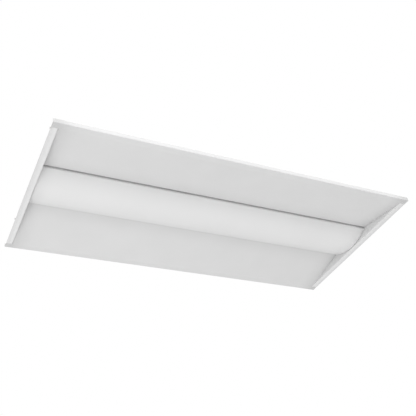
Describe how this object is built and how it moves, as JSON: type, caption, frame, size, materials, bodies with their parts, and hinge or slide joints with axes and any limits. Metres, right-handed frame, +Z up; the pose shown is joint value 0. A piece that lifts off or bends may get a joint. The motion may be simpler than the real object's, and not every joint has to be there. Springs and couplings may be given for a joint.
{
  "type": "recessed troffer light",
  "caption": "Recessed lay-in ceiling light with sloped white side wings and a bowed frosted centre lens on a drop-down hinged door.",
  "frame": {"origin": "centre of the flange undersides, the plane that rests on the ceiling grid", "axes": "+X along the light's length, +Y across it towards the door hinge, +Z up into the ceiling void"},
  "size_m": [1.213, 0.603, 0.086],
  "materials": {
    "white_enamel": "matte white baked powder coat",
    "galvanised_steel": "galvanised sheet with a fine spangle",
    "diffuser": "frosted translucent diffuser sheet",
    "white_moulding": "white moulding",
    "rail_aluminium": "mill finish extrusion",
    "plated_steel": "bright zinc plate",
    "white_screw": "white painted screws",
    "spring_steel": "spring steel strip",
    "nylon": "natural nylon",
    "board_white": "white solder mask on an aluminium board",
    "light_package": "yellow phosphor in a white frame",
    "grommet_rubber": "black rubber",
    "driver_enamel": "satin light grey coat",
    "circuit_green": "green circuit board",
    "component_dark": "dark wound blocks and capacitor sleeves",
    "terminal_orange": "orange push-in terminals",
    "terminal_grey": "grey push-in terminal block",
    "earth_green": "green dyed earth screw",
    "tinned_copper": "tinned copper ring",
    "lead_black": "black wire insulation",
    "lead_white": "white wire insulation",
    "lead_green": "green wire insulation",
    "lead_red": "red wire insulation"
  },
  "bodies": {
    "root": {"wing_near": "white_enamel", "wing_far": "white_enamel", "end_plate_left": "white_enamel", "end_plate_right": "white_enamel", "reflector_tray": "white_enamel", "end_knockouts": "white_enamel", "housing_pan": "galvanised_steel", "tray_bridges": "galvanised_steel", "access_plate": "galvanised_steel", "access_knockout": "galvanised_steel", "clip_pins": "plated_steel", "end_plate_screws": "plated_steel", "bridge_screws": "plated_steel", "wing_screws": "plated_steel", "driver_screws": "plated_steel", "supply_screw": "plated_steel", "access_screws": "plated_steel", "catch_rivets": "plated_steel", "tray_screws": "white_screw", "board_screws": "white_screw", "catch_clips": "spring_steel", "hinge_bushes": "nylon", "board_plugs": "nylon", "lead_saddle": "nylon", "light_board_near_left": "board_white", "light_board_near_right": "board_white", "light_board_far_left": "board_white", "light_board_far_right": "board_white", "light_packages": "light_package", "tray_grommet": "grommet_rubber", "driver_base": "driver_enamel", "driver_can": "driver_enamel", "driver_board": "circuit_green", "driver_components": "component_dark", "driver_terminals": "terminal_orange", "supply_terminal": "terminal_grey", "earth_screw": "earth_green", "earth_ring": "tinned_copper", "lead_live": "lead_black", "lead_black": "lead_black", "lead_neutral": "lead_white", "board_jumpers": "lead_white", "lead_earth": "lead_green", "lead_red": "lead_red"},
    "lens_door": {"lens": "diffuser", "lens_rail_near": "rail_aluminium", "lens_rail_far": "rail_aluminium", "lens_cap_left": "white_moulding", "lens_cap_right": "white_moulding", "rail_screws": "plated_steel", "hinge_pins": "plated_steel"},
    "grid_clip_near_left": {"grid_clip_near_left": "plated_steel"},
    "grid_clip_far_left": {"grid_clip_far_left": "plated_steel"},
    "grid_clip_near_right": {"grid_clip_near_right": "plated_steel"},
    "grid_clip_far_right": {"grid_clip_far_right": "plated_steel"}
  },
  "joints": [
    {"name": "lens_door_hinge", "type": "hinge", "parent": "root", "child": "lens_door", "pos_m": [0, 0.083, 0.0335], "axis": [1, 0, 0], "range_deg": [0, 85]},
    {"name": "grid_clip_near_left_swing", "type": "hinge", "parent": "root", "child": "grid_clip_near_left", "pos_m": [-0.5911, -0.22, 0.05], "axis": [0, 0, 1], "range_deg": [0, 90]},
    {"name": "grid_clip_far_left_swing", "type": "hinge", "parent": "root", "child": "grid_clip_far_left", "pos_m": [-0.5911, 0.22, 0.05], "axis": [0, 0, -1], "range_deg": [0, 90]},
    {"name": "grid_clip_near_right_swing", "type": "hinge", "parent": "root", "child": "grid_clip_near_right", "pos_m": [0.5911, -0.22, 0.05], "axis": [0, 0, -1], "range_deg": [0, 90]},
    {"name": "grid_clip_far_right_swing", "type": "hinge", "parent": "root", "child": "grid_clip_far_right", "pos_m": [0.5911, 0.22, 0.05], "axis": [0, 0, 1], "range_deg": [0, 90]}
  ]
}
